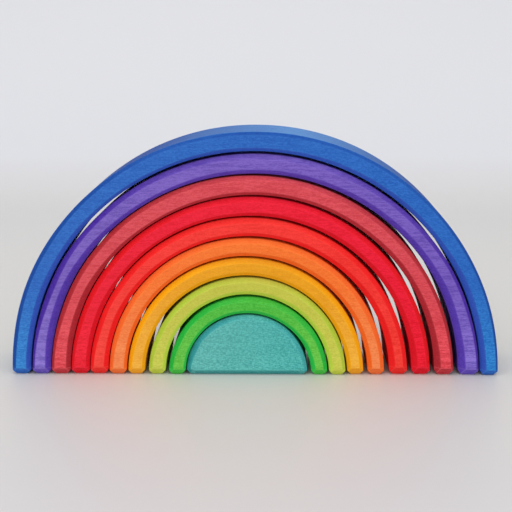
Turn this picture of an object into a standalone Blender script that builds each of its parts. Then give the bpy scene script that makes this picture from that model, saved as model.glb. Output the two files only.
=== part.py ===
"""Rainbow stacker: nine loose hardwood arches nested over a solid half-disc core.

The set is sawn from one block, so every arch is a half ring whose bore clears
the next arch by one saw cut. All pieces stand on the table plane, Z = 0.
X runs along the width of the nest, -Y is its front, and the origin lies on the
table under the crown of the outermost arch, at mid-depth.
"""
import math

import bmesh
import bpy
from mathutils import Matrix, Vector

MM = 0.001

# Driving dimensions, in metres
OUTER_RADIUS = 187.5 * MM
DEPTH = 70.0 * MM
SAW_CUT = 1.85 * MM
EDGE_BEVEL = 3.4 * MM

# Longest facet along an arch, and the angle past which an edge counts as sharp
FACET_LENGTH = 6.0 * MM
SHARP_ANGLE = math.radians(30.0)

# Stain on the wood
STAIN_ROUGHNESS = 0.55

# The arches from the outside in: name, wall from bore to back, how far the arch
# stands to the right of the one outside it as a share of the saw cut, and colour
ARCHES = (
    ("blue_arch", 14.4 * MM, 0.0, (0.04, 0.15, 0.55)),
    ("purple_arch", 14.8 * MM, -0.03, (0.18, 0.10, 0.47)),
    ("raspberry_arch", 14.2 * MM, -0.84, (0.62, 0.06, 0.09)),
    ("crimson_arch", 14.1 * MM, -0.70, (0.80, 0.015, 0.04)),
    ("scarlet_arch", 13.9 * MM, -0.73, (0.90, 0.05, 0.03)),
    ("orange_arch", 13.6 * MM, -0.75, (0.93, 0.17, 0.04)),
    ("amber_arch", 13.3 * MM, -0.43, (0.87, 0.36, 0.02)),
    ("lime_arch", 13.1 * MM, 0.41, (0.52, 0.56, 0.06)),
    ("green_arch", 12.8 * MM, 0.35, (0.08, 0.48, 0.06)),
)
CORE_NAME = "teal_core"
CORE_LEAN = -0.22
CORE_COLOUR = (0.08, 0.40, 0.40)


def clear_scene():
    for old in list(bpy.data.objects):
        bpy.data.objects.remove(old, do_unlink=True)


def stained_wood(name, colour):
    material = bpy.data.materials.new(name + "_stain")
    material.use_nodes = True
    shader = material.node_tree.nodes["Principled BSDF"]
    shader.inputs["Base Color"].default_value = (*colour, 1.0)
    shader.inputs["Roughness"].default_value = STAIN_ROUGHNESS
    shader.inputs["Metallic"].default_value = 0.0
    material.diffuse_color = (*colour, 1.0)
    return material


def facets_round(radius):
    """An even number of facets, so that one corner lies on the crown."""
    return 2 * math.ceil(math.pi * radius / (2.0 * FACET_LENGTH))


def sweep_half_turn(bm, inner_radius, outer_radius):
    """Turn the rectangular section of a leg from the left foot over to the right."""
    corners = [
        bm.verts.new((-radius, side * DEPTH / 2.0, 0.0))
        for radius, side in (
            (outer_radius, -1.0), (outer_radius, 1.0), (inner_radius, 1.0), (inner_radius, -1.0))
    ]
    foot = bm.faces.new(corners)
    bmesh.ops.spin(bm, geom=[foot], cent=(0.0, 0.0, 0.0), axis=(0.0, 1.0, 0.0),
                   angle=math.pi, steps=facets_round(outer_radius), use_duplicate=False)


def extrude_half_disc(bm, radius):
    """Push the half-disc outline of the core through the depth of the nest."""
    facets = facets_round(radius)
    rim = [
        bm.verts.new((-radius * math.cos(math.pi * step / facets), -DEPTH / 2.0,
                      radius * math.sin(math.pi * step / facets)))
        for step in range(facets + 1)
    ]
    front = bm.faces.new(rim)
    pushed = bmesh.ops.extrude_face_region(bm, geom=[front])
    back = [item for item in pushed["geom"] if isinstance(item, bmesh.types.BMVert)]
    bmesh.ops.translate(bm, verts=back, vec=Vector((0.0, DEPTH, 0.0)))


def bevel_sharp_edges(bm):
    """Cut every sharp edge back at 45 degrees: faces, backs, bores and feet alike."""
    bmesh.ops.recalc_face_normals(bm, faces=bm.faces)
    sharp = [edge for edge in bm.edges if edge.calc_face_angle(0.0) > SHARP_ANGLE]
    bmesh.ops.bevel(bm, geom=sharp, offset=EDGE_BEVEL, offset_type="OFFSET", segments=1,
                    affect="EDGES", clamp_overlap=True)
    bmesh.ops.recalc_face_normals(bm, faces=bm.faces)


def add_piece(name, bm, centre_x, colour):
    bevel_sharp_edges(bm)
    mesh = bpy.data.meshes.new(name)
    bm.to_mesh(mesh)
    bm.free()
    mesh.materials.append(stained_wood(name, colour))
    mesh.shade_smooth()
    mesh.set_sharp_from_angle(angle=SHARP_ANGLE)
    piece = bpy.data.objects.new(name, mesh)
    piece.matrix_world = Matrix.Translation((centre_x, 0.0, 0.0))
    bpy.context.scene.collection.objects.link(piece)
    return piece


def add_arch(name, centre_x, outer_radius, wall, colour):
    bm = bmesh.new()
    sweep_half_turn(bm, outer_radius - wall, outer_radius)
    return add_piece(name, bm, centre_x, colour)


def add_core(centre_x, radius):
    bm = bmesh.new()
    extrude_half_disc(bm, radius)
    return add_piece(CORE_NAME, bm, centre_x, CORE_COLOUR)


def build_nest():
    centre_x = 0.0
    outer_radius = OUTER_RADIUS
    for name, wall, lean, colour in ARCHES:
        centre_x += lean * SAW_CUT
        add_arch(name, centre_x, outer_radius, wall, colour)
        outer_radius -= wall + SAW_CUT
    add_core(centre_x + CORE_LEAN * SAW_CUT, outer_radius)


clear_scene()
build_nest()
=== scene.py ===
"""Looks of the rainbow stacker: ten pieces of hand-bevelled, water-stained hardwood.

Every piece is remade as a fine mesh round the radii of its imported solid. All the
grain runs along X, as in the one block that the real set is sawn from.
"""

import math

import bmesh
import bpy
from mathutils import Matrix, Vector, noise


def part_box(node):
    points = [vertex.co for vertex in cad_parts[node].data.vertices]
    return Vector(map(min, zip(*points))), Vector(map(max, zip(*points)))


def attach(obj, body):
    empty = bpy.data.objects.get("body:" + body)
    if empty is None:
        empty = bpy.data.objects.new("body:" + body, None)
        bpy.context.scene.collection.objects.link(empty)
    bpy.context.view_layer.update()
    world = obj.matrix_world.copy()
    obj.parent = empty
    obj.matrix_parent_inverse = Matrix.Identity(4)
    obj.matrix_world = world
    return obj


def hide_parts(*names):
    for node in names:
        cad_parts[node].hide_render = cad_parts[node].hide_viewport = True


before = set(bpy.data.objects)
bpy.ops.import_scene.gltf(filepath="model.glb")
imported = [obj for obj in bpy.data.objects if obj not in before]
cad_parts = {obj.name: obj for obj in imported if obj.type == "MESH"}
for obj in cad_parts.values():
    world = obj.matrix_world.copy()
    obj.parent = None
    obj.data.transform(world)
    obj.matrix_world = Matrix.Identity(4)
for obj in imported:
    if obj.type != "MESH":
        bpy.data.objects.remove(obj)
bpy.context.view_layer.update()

MM = 0.001

# The photograph's camera, found from the edges of the ten pieces
CAMERA_PLACE = Vector((18.8, -925.8, 264.7)) * MM
CAMERA_PITCH = math.radians(10.861)
CAMERA_YAW = math.radians(-1.096)
CAMERA_ROLL = math.radians(-0.136)
CAMERA_LENS = 84.37

# Light: the sky, and each softbox with its place, width, height and power in watts
SKY = 0.88
SKY_COLOUR = (0.97, 0.98, 1.0)
SOFTBOXES = (
    ("front_softbox", (0.1, -1.7, 0.42), 1.2, 0.6, 5.1),
    ("left_softbox", (-0.9, -1.2, 1.3), 1.2, 1.2, 3.3),
    ("top_softbox", (0.0, -0.4, 1.6), 1.6, 1.2, 6.0),
)
SOFTBOXES_AIM_AT = (0.0, 0.0, 0.08)

# Paper under and behind the object: its tones, and from where to where each gives way to
# the next, in metres of depth on the floor and of height at the foot of the wall. The lift
# from the front of the floor to the back and up the wall is painted light: the light from
# above on the wall and on the floor behind the object
FLOOR_IN_FRONT = (0.640, 0.620, 0.610)
FLOOR_BEHIND = (0.660, 0.650, 0.610)
FLOOR_FAR = (0.705, 0.690, 0.670)
WALL = (0.766, 0.768, 0.792)
FRONT_TO_BEHIND = (-0.25, 0.0)
BEHIND_TO_FAR = (0.1, 0.75)
FLOOR_TO_WALL = (0.0, 0.06)
PAPER_ROUGHNESS = 0.45

# Bevels and saw lines are given at seven angles from the left foot over the crown to the
# right foot
STATIONS = (0.0, 20.0, 60.0, 90.0, 120.0, 160.0, 180.0)

# Feet: depth of a bevel against its height, and its height on the two sides of a leg;
# on front and back each foot has a height of its own. Then the sections through a foot
FOOT_BEVEL_LEAN = 0.8
FOOT_SIDE_BEVEL = 3.4 * MM
FOOT_STEPS = 14

# Sanded ridges: length of the rounding on each side of a ridge, and its smallest bevel
RIDGE_ROUND = 0.5 * MM
RIDGE_STEPS = 3
LEAST_BEVEL = 0.6 * MM

# Hand finish: how far sanding eats into the surfaces, and how bevels wander
SANDING_DEPTH = 0.12 * MM
SANDING_WAVES = 22.0
BEVEL_WANDER = 0.14
BEVEL_WAVES = 12.0

# Where a leg soaks up stain, past what the direction of the grain says. Its eight sides
# run from the front bevel on its back edge round behind to its front face. The soaking
# falls off towards the crown of the bore and is held low on the foot bevels, so both come
# out paler: painted light from the floor on bevels that face down
LEG_SIDES = ("edge", "back", "edge", "face", "bore", "bore", "bore", "face")
BORE_SOAK_AND_FLOOR_LIGHT = (1.0, 1.0, 0.85, 0.8, 0.85, 0.95, 1.0)
FOOT_SOAK_AND_FLOOR_LIGHT = 0.55

# Height up to which the faces grow paler towards the table
PALER_UP_TO = 70.0 * MM

# Wear on the ridges of the legs and on the corners of the feet, against 1 on the ridges
# of the feet
LEG_RIDGE = 0.15
CORNER_RIDGE = 0.6

# Kept at each point of a mesh: on the back, on a darkened back edge, in drunk wood (partly
# painted floor light in the bore and at the feet), on a ridge
ATTRIBUTES = ("back", "edge", "drunk", "ridge")

# Mesh pitch along an arch, and where points lie on a flat between two ridges
PITCH = 2.5 * MM
FLAT_POINTS = (0.06, 0.2, 0.4, 0.6, 0.8, 0.94)

# Pieces from the outside in: node, stain on long grain, on long grain down by the table,
# on end grain and in the bore, strength of its streaks and of its speckle, share of the
# stain taken off the back as painted sheen (the backdrop's reflection at a grazing angle),
# how far the bevels on the back edge are darkened towards the end-grain colour, share of
# bare wood mixed in at the left end as a painted highlight (the left softbox's reflection),
# and in mm: height of the bevel on the left and right foot, how far the saw leant outwards
# from the front face to the face behind, on the left and right of the back and of the bore,
# then at the seven stations how far the saw strayed outwards on the back and in the bore,
# and the widths of the bevels on their edges
LOOKS = (
    ("blue_arch", (40, 100, 185), (45, 130, 205), (20, 70, 150), (55, 90, 190),
     0.7, 1.1, 0.3, 0.7, 0.012, (4.9, 4.3), (0.0, 0.0), (0.8, 0.0),
     (0.0, 0.7, 0.3, 0.0, 0.7, 0.4, 0.0), (-0.3, -0.4, -0.3, -0.3, -0.4, 0.2, 0.7),
     (3.2, 3.5, 2.6, 2.5, 2.4, 2.1, 1.6), (3.3, 3.5, 2.3, 2.8, 3.2, 4.0, 4.5)),
    ("purple_arch", (110, 85, 180), (125, 105, 200), (80, 50, 160), (90, 65, 185),
     1.7, 1.0, 0.0, 0.0, 0.028, (5.0, 5.3), (-0.6, -0.5), (-0.3, -0.3),
     (0.3, 0.1, -0.3, -0.4, -0.3, 0.7, 1.6), (0.8, 0.4, -0.5, -0.5, -0.5, 0.4, 0.7),
     (1.9, 4.3, 3.8, 3.8, 3.7, 2.6, 1.7), (3.9, 5.2, 2.6, 3.3, 4.0, 5.2, 5.4)),
    ("raspberry_arch", (210, 70, 80), (225, 70, 80), (180, 45, 50), (175, 45, 55),
     1.0, 1.05, 0.0, 0.0, 0.012, (5.2, 5.9), (0.0, -0.4), (0.0, -0.4),
     (0.5, 0.0, -0.1, -0.1, -0.1, 0.3, 0.4), (0.1, -0.2, -0.7, -0.5, -0.4, 0.0, 0.1),
     (2.2, 3.7, 3.3, 3.4, 3.5, 2.7, 1.8), (3.2, 4.0, 1.9, 2.5, 3.0, 4.0, 4.7)),
    ("crimson_arch", (230, 25, 50), (235, 25, 45), (230, 25, 35), (220, 25, 40),
     0.8, 0.95, 0.0, 0.0, 0.01, (5.9, 6.6), (0.0, -0.4), (0.3, -0.6),
     (0.0, -0.2, -0.3, -0.1, 0.0, 0.0, -0.1), (0.0, -0.4, -0.3, -0.4, -0.4, -0.1, -0.1),
     (2.4, 4.1, 4.0, 3.8, 3.6, 3.5, 2.8), (2.8, 3.3, 2.1, 2.8, 3.4, 4.0, 4.6)),
    ("scarlet_arch", (240, 50, 45), (250, 60, 50), (240, 35, 35), (240, 35, 35),
     0.7, 0.75, 0.0, 0.0, 0.018, (6.1, 6.6), (0.0, -0.3), (0.0, -0.4),
     (0.0, -0.3, -0.2, -0.1, 0.0, -0.2, -0.2), (-0.1, -0.3, -0.2, -0.3, -0.5, -0.1, -0.2),
     (3.0, 4.3, 4.0, 3.8, 3.6, 3.6, 3.3), (3.3, 3.7, 2.4, 2.9, 3.4, 4.6, 4.5)),
    ("orange_arch", (245, 115, 45), (250, 135, 80), (245, 110, 45), (250, 105, 35),
     0.5, 0.65, 0.0, 0.0, 0.012, (5.1, 5.7), (0.0, 0.2), (0.0, 0.0),
     (-0.4, -0.3, -0.1, -0.1, -0.1, -0.5, -0.8), (-0.3, -0.3, 0.0, -0.2, -0.4, -0.2, 0.0),
     (3.2, 4.0, 3.8, 3.7, 3.6, 3.5, 3.2), (2.1, 2.7, 2.7, 3.1, 3.5, 3.4, 3.4)),
    ("amber_arch", (230, 155, 25), (250, 175, 60), (245, 170, 15), (250, 165, 20),
     0.45, 0.6, 0.0, 0.0, 0.014, (5.2, 5.9), (0.0, 0.0), (0.0, 0.0),
     (-0.3, -0.2, 0.1, 0.1, 0.1, -0.3, -0.5), (-0.1, -0.1, 0.1, 0.0, -0.1, -0.1, 0.2),
     (3.2, 3.8, 3.6, 3.6, 3.5, 3.3, 3.0), (2.2, 2.6, 2.7, 2.9, 3.1, 3.2, 3.2)),
    ("lime_arch", (190, 190, 70), (200, 205, 80), (175, 205, 65), (200, 220, 75),
     0.4, 0.6, 0.0, 0.0, 0.012, (5.1, 4.3), (0.0, 0.0), (-0.4, 0.0),
     (-0.3, -0.2, 0.4, 0.3, 0.3, 0.2, 0.1), (-0.3, 0.0, 0.2, 0.1, -0.1, 0.2, 0.4),
     (3.0, 3.6, 3.5, 3.5, 3.4, 3.2, 2.4), (2.4, 2.5, 2.7, 3.1, 3.4, 3.4, 3.2)),
    ("green_arch", (65, 180, 60), (105, 195, 70), (40, 180, 65), (45, 195, 75),
     0.6, 0.95, 0.0, 0.0, 0.006, (4.5, 4.4), (-0.2, 0.0), (0.0, 0.0),
     (-0.2, -0.3, 0.2, 0.1, 0.0, 0.3, 0.4), (-0.5, -0.2, 0.2, 0.1, 0.0, 0.5, 0.6),
     (3.4, 3.6, 3.4, 3.5, 3.6, 3.3, 2.8), (1.6, 1.7, 2.4, 2.6, 2.8, 3.3, 3.4)),
)
CORE_LOOK = ("teal_core", (70, 170, 165), (75, 175, 170), (70, 165, 170), (55, 150, 155),
             0.7, 2.4, 0.0, 0.0, 0.05,
             (0.3, 0.8, 0.7, 0.7, 0.8, 0.2, 0.0), (3.2, 4.2, 3.3, 3.1, 3.0, 2.6, 2.2))
# The core: bevel along its base, stain soaked up there and at the seven stations, and the
# points along its arc and its base
CORE_BASE_BEVEL = 4.2 * MM
CORE_BASE_DRUNK = 0.5
CORE_DRUNK = (1.0, 1.0, 0.7, 0.0, 0.0, 0.0, 0.1)
CORE_ARC_STEPS = 90
CORE_BASE_STEPS = 30

# The first values of a row belong to its stain, the others to its shape
STAIN_VALUES = 9

# Each piece has its own wander and its own grain
WANDER_SEED_STEP = 17.0
CORE_WANDER_SEED = 170.0
CORE_GRAIN_SEED = 10.0

BARE_WOOD = (0.96, 0.88, 0.76)
BRIGHTEST = 0.96

# Grain runs along X and dips a little to the right. From the first to the second share of
# the surface's lean across it, long grain turns into end grain
GRAIN_DIP = math.radians(9.0)
END_GRAIN = (0.04, 0.56)

# Features of the wood per metre along X, Y and Z
BANDS = (14.0, 90.0, 130.0)
STREAKS = (26.0, 480.0, 640.0)
FIBRES = (100.0, 1000.0, 1150.0)
CLOUDS = (36.0, 50.0, 50.0)
DASHES = (400.0, 1300.0, 1900.0)
SCRATCHES = (1700.0, 1300.0, 500.0)
CHIPS = (160.0, 160.0, 160.0)
RINGS = (4.0, 70.0, 70.0)
RINGS_PITH = (0.0, -6.0, 14.0)

# Contrast of the grain on each surface: share of the pigment, and share of the brightness,
# that the palest and the darkest wood gain and lose
LONG_CONTRAST = (0.08, 0.09)
LOW_FACE_CONTRAST = (0.13, 0.15)
BACK_SHEEN_CONTRAST = (0.1, 0.08)
SOAKED_CONTRAST = (0.04, 0.08)
WORN_THINNING = 0.25
WORN_GAIN = 1.12


def linear(colour):
    """A colour read from a picture, 0 to 255, as Blender's linear values."""
    def one(value):
        share = value / 255.0
        return share / 12.92 if share <= 0.04045 else ((share + 0.055) / 1.055) ** 2.4
    return tuple(one(value) for value in colour)


def blend(a, b, share):
    return tuple(x + (y - x) * share for x, y in zip(a, b))


def thinned(stain, share, gain=1.0):
    """A stain with a share of its pigment gone, or added where the share is negative."""
    return tuple(min(wood * (value / wood) ** (1.0 - share) * gain, BRIGHTEST)
                 for value, wood in zip(stain, BARE_WOOD))


def along(widths, degrees):
    """Bevel width in metres at an angle: a smooth curve through the seven stations."""
    last = len(STATIONS) - 1
    degrees = min(max(degrees, STATIONS[0]), STATIONS[last])
    right = next(i for i in range(1, last + 1) if degrees <= STATIONS[i])
    share = (degrees - STATIONS[right - 1]) / (STATIONS[right] - STATIONS[right - 1])
    share = share * share * (3.0 - 2.0 * share)
    return (widths[right - 1] + (widths[right] - widths[right - 1]) * share) * MM


def bevel_at(widths, degrees, seed):
    """Bevel width with the slow wander that a hand-held bevel has along its edge."""
    drift = noise.noise(Vector((degrees / 180.0 * BEVEL_WAVES, seed, 0.0)))
    return along(widths, degrees) * (1.0 + BEVEL_WANDER * drift)


def sanded(x, y, z):
    """Depth that sanding has taken off the surface at a point."""
    value = noise.noise(Vector((x, y * 0.5, z)) * SANDING_WAVES)
    return SANDING_DEPTH * (0.5 + 0.5 * value)


def step_towards(point, target, distance):
    dx = target[0] - point[0]
    dy = target[1] - point[1]
    length = math.hypot(dx, dy)
    return (point[0] + dx / length * distance, point[1] + dy / length * distance)


def trim(corner, neighbour):
    """Where the rounding of a ridge meets the straight side to its neighbour."""
    length = math.hypot(neighbour[0] - corner[0], neighbour[1] - corner[1])
    return step_towards(corner, neighbour, min(RIDGE_ROUND, 0.45 * length))


def rounded_ridge(before, corner, after):
    """Points of a small curve that softens a corner of an outline."""
    enter = trim(corner, before)
    leave = trim(corner, after)
    points = []
    for step in range(RIDGE_STEPS + 1):
        t = step / RIDGE_STEPS
        a, b, c = (1.0 - t) ** 2, 2.0 * t * (1.0 - t), t * t
        points.append((a * enter[0] + b * corner[0] + c * leave[0],
                       a * enter[1] + b * corner[1] + c * leave[1], t))
    return points


def leg_section(wall, half_depth, cuts, bore_soak_and_light):
    """Outline of a leg as (depth in from the back, y, on the back, edge, drunk, ridge) points.

    cuts holds the bevels at the back edge in front, the back edge behind, the bore
    edge behind and the bore edge in front.
    """
    corners = ((0.0, -half_depth), (0.0, half_depth), (wall, half_depth), (wall, -half_depth))
    outline = []
    for i, corner in enumerate(corners):
        outline.append(step_towards(corner, corners[i - 1], cuts[i]))
        outline.append(step_towards(corner, corners[(i + 1) % 4], cuts[i]))
    sides = [(float(side == "back"), float(side == "edge"), bore_soak_and_light * (side == "bore"))
             for side in LEG_SIDES]
    points = []
    for i, corner in enumerate(outline):
        before = outline[i - 1]
        after = outline[(i + 1) % 8]
        for inward, y, t in rounded_ridge(before, corner, after):
            points.append((inward, y, *blend(sides[i - 1], sides[i], t), LEG_RIDGE))
        leave = trim(corner, after)
        arrive = trim(after, corner)
        for share in FLAT_POINTS:
            inward, y = blend(leave, arrive, share)
            points.append((inward, y, *sides[i], 0.0))
    return points


def foot_inset(height, bevel):
    """Inset of a wall at a height over the table, with both ridges of the bevel rounded."""
    over = bevel - height
    if height < RIDGE_ROUND:
        t = math.sqrt(height / RIDGE_ROUND)
        return bevel + RIDGE_ROUND * (1.0 - t) ** 2 - RIDGE_ROUND * t * t
    if over >= RIDGE_ROUND:
        return over
    if over <= -RIDGE_ROUND:
        return 0.0
    return (over + RIDGE_ROUND) ** 2 / (4.0 * RIDGE_ROUND)


def near(height, ridge_height):
    """1 on a ridge at a height, falling to 0 where its rounding ends."""
    return max(0.0, 1.0 - abs(height - ridge_height) / RIDGE_ROUND)


def foot_heights(face_bevel):
    """Heights of the sections from the table up to where the foot bevels end."""
    heights = [RIDGE_ROUND * (step / RIDGE_STEPS) ** 2 for step in range(RIDGE_STEPS + 1)]
    rise = max(face_bevel, FOOT_SIDE_BEVEL)
    heights += [RIDGE_ROUND + rise * step / FOOT_STEPS for step in range(1, FOOT_STEPS + 1)]
    return heights


def build_mesh(name, rings):
    """Skin closed rings of (x, y, z, attributes) points and close both ends."""
    count = len(rings[0])
    points = [point for ring in rings for point in ring]
    faces = [tuple(range(count)), tuple(range(len(points) - count, len(points)))]
    for row in range(len(rings) - 1):
        a = row * count
        b = a + count
        faces += [(a + i, b + i, b + (i + 1) % count, a + (i + 1) % count)
                  for i in range(count)]
    mesh = bpy.data.meshes.new(name)
    mesh.from_pydata([point[:3] for point in points], [], faces)
    for column, attribute in enumerate(ATTRIBUTES, 3):
        layer = mesh.attributes.new(attribute, "FLOAT", "POINT")
        layer.data.foreach_set("value", [point[column] for point in points])
    bm = bmesh.new()
    bm.from_mesh(mesh)
    bmesh.ops.recalc_face_normals(bm, faces=bm.faces)
    bm.to_mesh(mesh)
    bm.free()
    mesh.shade_smooth()
    piece = bpy.data.objects.new(name, mesh)
    bpy.context.scene.collection.objects.link(piece)
    return piece


def arch_rings(node, foot_bevels, back_lean, bore_lean, back_wander, bore_wander,
               back_widths, bore_widths, seed):
    """Sections of an arch from the left foot over the crown to the right foot."""
    low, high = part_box(node)
    centre = (low.x + high.x) / 2.0
    back = high.z
    half_depth = high.y
    corners = [v.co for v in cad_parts[node].data.vertices]
    bore = min(math.hypot(corner.x - centre, corner.z) for corner in corners)

    def lean_at(degrees, inward, behind):
        """How far the lean of the saw moves a point outwards."""
        on_back, in_bore = blend(*zip(back_lean, bore_lean), degrees / 180.0)
        return (on_back + (in_bore - on_back) * inward) * (0.5 + 0.5 * behind) * MM

    def section_at(degrees, face_inset, side_inset):
        """Radius, y, place in the wall and stain of each point of the leg's outline.

        The bevels behind are the mirror image of those in front, with a wander of their own.
        """
        outside = back + along(back_wander, degrees) - side_inset
        wall = outside - bore - along(bore_wander, degrees) - side_inset
        mirrored = 180.0 - degrees
        edges = ((back_widths, degrees, 0.0), (back_widths, mirrored, 3.0),
                 (bore_widths, mirrored, 6.0), (bore_widths, degrees, 9.0))
        cuts = []
        for widths, angle, shift in edges:
            width = bevel_at(widths, angle, seed + shift) - face_inset - side_inset
            cuts.append(max(width, LEAST_BEVEL))
        # Towards the crown the bore soaks up less: painted light on its bevels that face down
        drunk = along(BORE_SOAK_AND_FLOOR_LIGHT, degrees) / MM
        section = []
        for inward, y, *stain in leg_section(wall, half_depth - face_inset, cuts, drunk):
            radius = outside - inward + lean_at(degrees, inward / wall, y / half_depth)
            section.append((radius, y, 1.0 - 2.0 * inward / wall, stain))
        return section

    def finish_point(x, y, z, place, stain):
        """Let sanding eat into the walls and faces, but not lift a foot off the table."""
        depth = sanded(centre + x, y, z)
        shrink = 1.0 - depth * place / back
        return (centre + x * shrink, y * (1.0 - depth / half_depth), z * shrink, *stain)

    def foot_ring(height, side, face_bevel):
        face_inset = foot_inset(height * FOOT_BEVEL_LEAN, face_bevel * FOOT_BEVEL_LEAN)
        side_inset = foot_inset(height * FOOT_BEVEL_LEAN, FOOT_SIDE_BEVEL * FOOT_BEVEL_LEAN)
        on_face = min(max((height - face_bevel) / RIDGE_ROUND * 0.5 + 0.5, 0.0), 1.0)
        foot_ridge = max(near(height, face_bevel), near(height, 0.0))
        ring = []
        for radius, y, place, stain in section_at(90.0 + 90.0 * side, face_inset, side_inset):
            on_back, edge, drunk, ridge = stain
            if ridge > 0.0:
                ridge = LEG_RIDGE + (CORNER_RIDGE - LEG_RIDGE) * (1.0 - on_face)
            # The foot bevels take only part of the end-grain stain: painted light from the floor
            # below
            drunk = max(drunk, FOOT_SOAK_AND_FLOOR_LIGHT * (1.0 - on_face))
            stain = (on_back * on_face, edge * on_face, drunk, max(ridge, foot_ridge))
            reach = math.sqrt((radius + side_inset) ** 2 - height ** 2) - side_inset
            ring.append(finish_point(side * reach, y, height, place, stain))
        return ring

    left, right = (bevel * MM for bevel in foot_bevels)
    rings = [foot_ring(height, -1.0, left) for height in foot_heights(left)]
    steps = round(math.pi * back / PITCH)
    for step in range(1, steps):
        share = step / steps
        ring = []
        for radius, y, place, stain in section_at(180.0 * share, 0.0, 0.0):
            start = math.asin(foot_heights(left)[-1] / radius)
            stop = math.pi - math.asin(foot_heights(right)[-1] / radius)
            angle = start + share * (stop - start)
            x = -radius * math.cos(angle)
            z = radius * math.sin(angle)
            ring.append(finish_point(x, y, z, place, stain))
        rings.append(ring)
    rings += [foot_ring(height, 1.0, right) for height in reversed(foot_heights(right))]
    return rings


def half_disc(radius, inset):
    """Outline of the half disc, inset from its edge, as (x, z, angle, ridge) points.

    Its two lower corners are cut off at 45 degrees and every corner is softened.
    The angle is -1 along the base.
    """
    reach = radius - inset
    cut = max(FOOT_SIDE_BEVEL - (2.0 - math.sqrt(2.0)) * inset, LEAST_BEVEL)
    start = math.asin((inset + cut) / reach)
    wide = reach * math.cos(start)
    side = (wide, inset + cut)
    base = (wide - cut, inset)
    above = (reach * math.cos(start * 1.1), reach * math.sin(start * 1.1))
    corner_side = rounded_ridge(above, side, base)
    corner_base = rounded_ridge(side, base, (0.0, inset))
    first = math.atan2(corner_side[0][1], corner_side[0][0])
    points = []
    for step in range(CORE_ARC_STEPS + 1):
        angle = first + (math.pi - 2.0 * first) * step / CORE_ARC_STEPS
        x = -reach * math.cos(angle)
        z = reach * math.sin(angle)
        points.append((x, z, math.degrees(angle), 0.0))
    right = [(x, z, 180.0, 1.0) for x, z, _ in corner_side[1:]]
    right += [(*blend(corner_side[-1][:2], corner_base[0][:2], share), 180.0, 0.0)
              for share in (0.3, 0.7)]
    right += [(x, z, -1.0, 1.0) for x, z, _ in corner_base]
    points += right
    edge = corner_base[-1][0]
    points += [(edge * (1.0 - 2.0 * step / CORE_BASE_STEPS), inset, -1.0, 0.0)
               for step in range(1, CORE_BASE_STEPS)]
    points += [(-x, z, angle - 180.0 if angle > 0.0 else angle, ridge)
               for x, z, angle, ridge in reversed(right)]
    return points


def core_rings(node, wander, widths, seed):
    """Outlines of the half disc stacked from its front face to its back face."""
    low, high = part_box(node)
    centre = (low.x + high.x) / 2.0
    half_depth = high.y
    whole = half_disc(high.z, 0.0)

    def width(angle, side):
        if angle < 0.0:
            return CORE_BASE_BEVEL
        return bevel_at(widths, angle if side < 0.0 else 180.0 - angle, seed + side)

    def drunk_at(angle, side):
        if angle < 0.0:
            return CORE_BASE_DRUNK
        return along(CORE_DRUNK, angle if side < 0.0 else 180.0 - angle) / MM

    def ring_at(side, profile):
        """One ring; profile gives inset, depth in from the face, flat and ridge for a width."""
        spots = [profile(width(angle, side)) for _, _, angle, _ in whole]
        outlines = {inset: half_disc(high.z, inset) for inset in {spot[0] for spot in spots}}
        ring = []
        for i, (inset, below, flat, ridge) in enumerate(spots):
            x, z, angle, corner = outlines[inset][i]
            depth = sanded(centre + x, 0.0, z)
            strayed = along(wander, angle) if angle > 0.0 else 0.0
            shrink = 1.0 - (depth - strayed) / high.z
            drunk = (1.0 - flat) * drunk_at(angle, side)
            worn = max(ridge, corner * (1.0 - flat)) * (1.0 if angle < 0.0 else LEG_RIDGE)
            y = side * (half_depth - below - depth)
            ring.append((centre + x * shrink, y, z * shrink, 0.0, 0.0, drunk, worn))
        return ring

    r = RIDGE_ROUND
    slant = r / math.sqrt(2.0)

    def on_face(gap):
        return lambda w: (w + gap, 0.0, 1.0, 0.0)

    def on_face_ridge(t):
        fall = slant * t * t
        return lambda w: (w + r * (1.0 - t) ** 2 - fall, fall, 1.0 - t, 1.0)

    def on_bevel(share):
        return lambda w: (w * (1.0 - share), w * share, 0.0, 0.0)

    def on_rim_ridge(t):
        rest = slant * (1.0 - t) ** 2
        return lambda w: (rest, w - rest + r * t * t, 0.0, 1.0)

    def on_rim(share):
        return lambda w: (0.0, w + r + (half_depth - w - r) * share, 0.0, 0.0)

    round_steps = [step / RIDGE_STEPS for step in range(RIDGE_STEPS + 1)]
    profiles = [on_face(4.0 * r), on_face(1.5 * r)]
    profiles += [on_face_ridge(t) for t in round_steps]
    profiles += [on_bevel(share) for share in (0.25, 0.5, 0.75)]
    profiles += [on_rim_ridge(t) for t in round_steps]
    profiles += [on_rim(share) for share in (0.08, 0.25, 0.5, 0.75, 1.0)]
    front = [ring_at(-1.0, profile) for profile in profiles]
    behind = [ring_at(1.0, profile) for profile in reversed(profiles[:-1])]
    return front + behind


def add_node(tree, kind, **settings):
    node = tree.nodes.new(kind)
    for name, value in settings.items():
        setattr(node, name, value)
    return node


def stretched(tree, coordinates, scale, seed):
    mapping = add_node(tree, "ShaderNodeMapping")
    mapping.inputs["Scale"].default_value = scale
    mapping.inputs["Location"].default_value = (seed * 7.3, seed * 3.1, seed * 5.7)
    tree.links.new(coordinates, mapping.inputs["Vector"])
    return mapping.outputs["Vector"]


def wood_noise(tree, coordinates, scale, detail, seed):
    """Noise from about -1 to 1 whose features are 1/scale metres long on each axis."""
    texture = add_node(tree, "ShaderNodeTexNoise")
    texture.inputs["Scale"].default_value = 1.0
    texture.inputs["Detail"].default_value = detail
    texture.inputs["Roughness"].default_value = 0.6
    tree.links.new(stretched(tree, coordinates, scale, seed), texture.inputs["Vector"])
    return weighted_sum(tree, ((texture.outputs["Fac"], 3.0),), -1.5)


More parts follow.
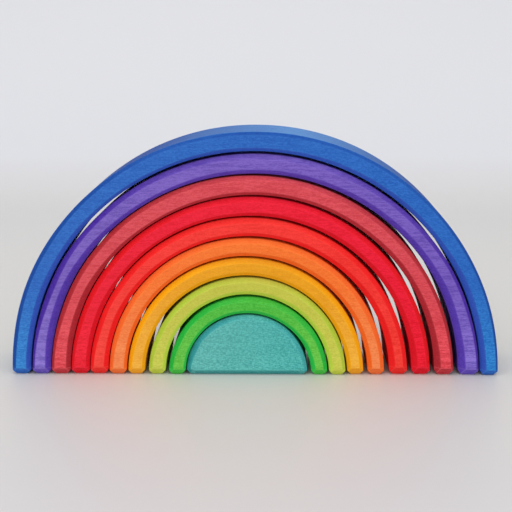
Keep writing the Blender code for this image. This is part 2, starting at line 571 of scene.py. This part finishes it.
def growth_rings(tree, coordinates):
    """Annual rings round a pith line that runs along X below and behind the block."""
    wave = add_node(tree, "ShaderNodeTexWave",
                    wave_type="RINGS", rings_direction="X", wave_profile="SAW")
    wave.inputs["Scale"].default_value = 1.0
    wave.inputs["Distortion"].default_value = 5.0
    wave.inputs["Detail"].default_value = 2.0
    wave.inputs["Detail Scale"].default_value = 0.6
    mapping = add_node(tree, "ShaderNodeMapping")
    mapping.inputs["Location"].default_value = RINGS_PITH
    mapping.inputs["Scale"].default_value = RINGS
    tree.links.new(coordinates, mapping.inputs["Vector"])
    tree.links.new(mapping.outputs["Vector"], wave.inputs["Vector"])
    return weighted_sum(tree, ((wave.outputs["Fac"], 2.0),), -1.0)


def weighted_sum(tree, parts, base, clamp=False):
    """base plus each value times its weight."""
    total = None
    for value, weight in parts:
        term = add_node(tree, "ShaderNodeMath", operation="MULTIPLY_ADD", use_clamp=clamp)
        term.inputs[1].default_value = weight
        term.inputs[2].default_value = base
        if total is not None:
            tree.links.new(total, term.inputs[2])
        tree.links.new(value, term.inputs[0])
        total = term.outputs[0]
    return total


def math_node(tree, operation, a, b):
    node = add_node(tree, "ShaderNodeMath", operation=operation, use_clamp=True)
    for value, socket in ((a, node.inputs[0]), (b, node.inputs[1])):
        if isinstance(value, bpy.types.NodeSocket):
            tree.links.new(value, socket)
        else:
            socket.default_value = value
    return node.outputs[0]


def mix_colours(tree, share, a, b):
    mix = add_node(tree, "ShaderNodeMix", data_type="RGBA")
    for value, socket in ((share, mix.inputs[0]), (a, mix.inputs[6]), (b, mix.inputs[7])):
        if isinstance(value, bpy.types.NodeSocket):
            tree.links.new(value, socket)
        elif isinstance(value, float):
            socket.default_value = value
        else:
            socket.default_value = (*value, 1.0)
    return mix.outputs[2]


def ramp(tree, value, low, high):
    """0 below one value and 1 above another, straight between them."""
    rise = add_node(tree, "ShaderNodeMapRange")
    rise.inputs["From Min"].default_value = low
    rise.inputs["From Max"].default_value = high
    tree.links.new(value, rise.inputs["Value"])
    return rise.outputs["Result"]


def end_grain(tree):
    """1 where the surface cuts across the fibres, 0 where they lie in it."""
    along_grain = add_node(tree, "ShaderNodeVectorMath", operation="DOT_PRODUCT")
    tree.links.new(add_node(tree, "ShaderNodeTexCoord").outputs["Normal"], along_grain.inputs[0])
    along_grain.inputs[1].default_value = (math.cos(GRAIN_DIP), 0.0, -math.sin(GRAIN_DIP))
    across = add_node(tree, "ShaderNodeMath", operation="ABSOLUTE")
    tree.links.new(along_grain.outputs["Value"], across.inputs[0])
    return ramp(tree, across.outputs[0], *END_GRAIN)


def grain_tone(tree, coordinates, streak, speckle, seed):
    """Tone of the wood under its stain, from 0 for dark to 1 for pale."""
    rings = growth_rings(tree, coordinates)
    bands = wood_noise(tree, coordinates, BANDS, 3.0, 1.0)
    streaks = wood_noise(tree, coordinates, STREAKS, 1.0, 2.0)
    fibres = wood_noise(tree, coordinates, FIBRES, 1.0, seed)
    clouds = wood_noise(tree, coordinates, CLOUDS, 2.0, seed + 0.3)
    dashes = wood_noise(tree, coordinates, DASHES, 1.0, seed + 0.5)
    scratches = wood_noise(tree, coordinates, SCRATCHES, 1.0, seed + 0.7)
    parts = ((rings, 0.08 * streak), (bands, 0.2 * streak), (streaks, 0.3 * streak),
             (fibres, 0.4 * streak), (clouds, 0.2), (dashes, 0.77 * speckle),
             (scratches, 0.4 * speckle))
    tone = weighted_sum(tree, parts, 0.5)
    return math_node(tree, "MAXIMUM", tone, 0.0), clouds, fibres, dashes


def toned(tree, tone, colour, contrast, gone=0.0):
    """A stain, with a share of its pigment gone, over the tone of the wood."""
    stain = linear(colour)
    pigment, light = contrast
    dark = thinned(stain, gone - pigment, 1.0 - light)
    pale = thinned(stain, gone + pigment, 1.0 + light)
    return mix_colours(tree, tone, dark, pale)


def stained_wood(name, long_colour, low_colour, end_colour, bore_colour,
                 streak, speckle, back_sheen_share, edge_darkening, left_highlight_share, reach, seed):
    """Water stain on sanded hardwood: end grain drinks more of it than long grain."""
    material = bpy.data.materials.new(name)
    material.use_nodes = True
    tree = material.node_tree
    shader = tree.nodes["Principled BSDF"]
    shader.inputs["Specular IOR Level"].default_value = 0.1
    coordinates = add_node(tree, "ShaderNodeTexCoord").outputs["Object"]
    place = add_node(tree, "ShaderNodeSeparateXYZ")
    tree.links.new(coordinates, place.inputs[0])
    kept = [add_node(tree, "ShaderNodeAttribute", attribute_name=attribute)
            for attribute in ATTRIBUTES]
    back, edge, drunk, ridge = (node.outputs["Fac"] for node in kept)
    tone, clouds, fibres, dashes = grain_tone(tree, coordinates, streak, speckle, seed)

    paling_low = ramp(tree, place.outputs["Z"], PALER_UP_TO, 0.0)
    on_long = mix_colours(tree, paling_low, toned(tree, tone, long_colour, LONG_CONTRAST),
                          toned(tree, tone, low_colour, LOW_FACE_CONTRAST))
    # Paler back: painted sheen, the backdrop's reflection seen at a grazing angle
    sheened_back = toned(tree, tone, long_colour, BACK_SHEEN_CONTRAST, back_sheen_share)
    on_long = mix_colours(tree, back, on_long, sheened_back)
    # Paler wood towards the left end: painted highlight, the broad reflection of the left
    # softbox
    left_highlight_ramp = ramp(tree, place.outputs["X"], reach, -reach)
    on_long = mix_colours(tree, weighted_sum(tree, ((left_highlight_ramp, left_highlight_share),), 0.0), on_long, BARE_WOOD)

    on_end = toned(tree, tone, end_colour, SOAKED_CONTRAST)
    in_bore = toned(tree, tone, bore_colour, SOAKED_CONTRAST)
    # The bevels on the back edge turn darker towards the end-grain colour
    on_edge = math_node(tree, "MULTIPLY", edge, edge_darkening)
    soaking = math_node(tree, "MAXIMUM", end_grain(tree), on_edge)
    colour = mix_colours(tree, soaking, on_long, on_end)
    colour = mix_colours(tree, drunk, colour, in_bore)

    chips = wood_noise(tree, coordinates, CHIPS, 3.0, seed + 11.0)
    wear = weighted_sum(tree, ((chips, 0.3),), 0.6, clamp=True)
    bare = thinned(linear(long_colour), WORN_THINNING, WORN_GAIN)
    colour = mix_colours(tree, math_node(tree, "MULTIPLY", ridge, wear), colour, bare)
    tree.links.new(colour, shader.inputs["Base Color"])

    roughness = weighted_sum(tree, ((clouds, 0.05), (fibres, 0.05)), 0.58)
    tree.links.new(roughness, shader.inputs["Roughness"])
    bump = add_node(tree, "ShaderNodeBump")
    bump.inputs["Strength"].default_value = 0.3
    bump.inputs["Distance"].default_value = 0.08 * MM
    height = weighted_sum(tree, ((fibres, 0.6), (dashes, 0.4)), 0.5)
    tree.links.new(height, bump.inputs["Height"])
    tree.links.new(bump.outputs["Normal"], shader.inputs["Normal"])
    return material


def add_piece(node, body, rings, looks, seed):
    piece = build_mesh(node + "_wood", rings)
    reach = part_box(node)[1].x
    piece.data.materials.append(stained_wood(node + "_finish", *looks, reach, seed))
    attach(piece, body)
    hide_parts(node)


def add_pieces():
    for index, (node, *row) in enumerate(LOOKS):
        rings = arch_rings(node, *row[STAIN_VALUES:], index * WANDER_SEED_STEP)
        add_piece(node, node.removesuffix("_arch"), rings, row[:STAIN_VALUES], index + 1.0)
    node, *row = CORE_LOOK
    rings = core_rings(node, *row[STAIN_VALUES:], CORE_WANDER_SEED)
    add_piece(node, "core", rings, row[:STAIN_VALUES], CORE_GRAIN_SEED)


def add_camera():
    forward = Vector((math.sin(CAMERA_YAW) * math.cos(CAMERA_PITCH),
                      math.cos(CAMERA_YAW) * math.cos(CAMERA_PITCH), -math.sin(CAMERA_PITCH)))
    right = Vector((math.cos(CAMERA_YAW), -math.sin(CAMERA_YAW), 0.0))
    up = right.cross(forward)
    turn = Matrix((right, up, -forward)).transposed() @ Matrix.Rotation(CAMERA_ROLL, 3, "Z")
    data = bpy.data.cameras.new("photo_camera")
    data.lens = CAMERA_LENS
    data.sensor_width = 36.0
    data.sensor_fit = "HORIZONTAL"
    camera = bpy.data.objects.new("photo_camera", data)
    camera.matrix_world = Matrix.Translation(CAMERA_PLACE) @ turn.to_4x4()
    bpy.context.scene.collection.objects.link(camera)
    bpy.context.scene.camera = camera


def paper():
    """Pale paper, painted lighter from the front of the floor to the wall: painted light from
    above.
    """
    material = bpy.data.materials.new("backdrop_paper")
    material.use_nodes = True
    tree = material.node_tree
    shader = tree.nodes["Principled BSDF"]
    shader.inputs["Roughness"].default_value = PAPER_ROUGHNESS
    place = add_node(tree, "ShaderNodeSeparateXYZ")
    tree.links.new(add_node(tree, "ShaderNodeTexCoord").outputs["Object"], place.inputs[0])
    colour = FLOOR_IN_FRONT
    changes = (("Y", FRONT_TO_BEHIND, FLOOR_BEHIND), ("Y", BEHIND_TO_FAR, FLOOR_FAR),
               ("Z", FLOOR_TO_WALL, WALL))
    for axis, stretch, next_colour in changes:
        share = ramp(tree, place.outputs[axis], *stretch)
        colour = mix_colours(tree, share, colour, next_colour)
    tree.links.new(colour, shader.inputs["Base Color"])
    return material


def add_backdrop():
    """One sheet of pale paper: floor, a curve and a wall behind."""
    half_width = 4.0
    front, turn_at, radius, top = -3.0, 0.75, 0.5, 4.0
    profile = [(front, 0.0)]
    turn_steps = 24
    for step in range(turn_steps + 1):
        angle = math.pi / 2.0 * step / turn_steps
        profile.append((turn_at + radius * math.sin(angle), radius * (1.0 - math.cos(angle))))
    profile.append((turn_at + radius, top))
    vertices = [(side * half_width, y, z) for y, z in profile for side in (-1.0, 1.0)]
    faces = [(2 * i, 2 * i + 1, 2 * i + 3, 2 * i + 2) for i in range(len(profile) - 1)]
    mesh = bpy.data.meshes.new("backdrop")
    mesh.from_pydata(vertices, [], faces)
    mesh.materials.append(paper())
    mesh.shade_smooth()
    backdrop = bpy.data.objects.new("backdrop", mesh)
    bpy.context.scene.collection.objects.link(backdrop)


def add_softbox(name, place, width, height, power):
    lamp = bpy.data.lights.new(name, "AREA")
    lamp.shape = "RECTANGLE"
    lamp.size = width
    lamp.size_y = height
    lamp.energy = power
    softbox = bpy.data.objects.new(name, lamp)
    softbox.location = place
    aim = Vector(SOFTBOXES_AIM_AT) - Vector(place)
    softbox.rotation_euler = aim.to_track_quat("-Z", "Y").to_euler()
    # Without this the paper mirrors the softbox as a white glare when seen from behind
    softbox.visible_glossy = False
    bpy.context.scene.collection.objects.link(softbox)


def add_light():
    world = bpy.data.worlds.new("studio")
    world.use_nodes = True
    background = world.node_tree.nodes["Background"]
    background.inputs["Color"].default_value = (*SKY_COLOUR, 1.0)
    background.inputs["Strength"].default_value = SKY
    bpy.context.scene.world = world
    for softbox in SOFTBOXES:
        add_softbox(*softbox)


add_pieces()
add_camera()
add_backdrop()
add_light()
bpy.context.scene.view_settings.view_transform = "Standard"
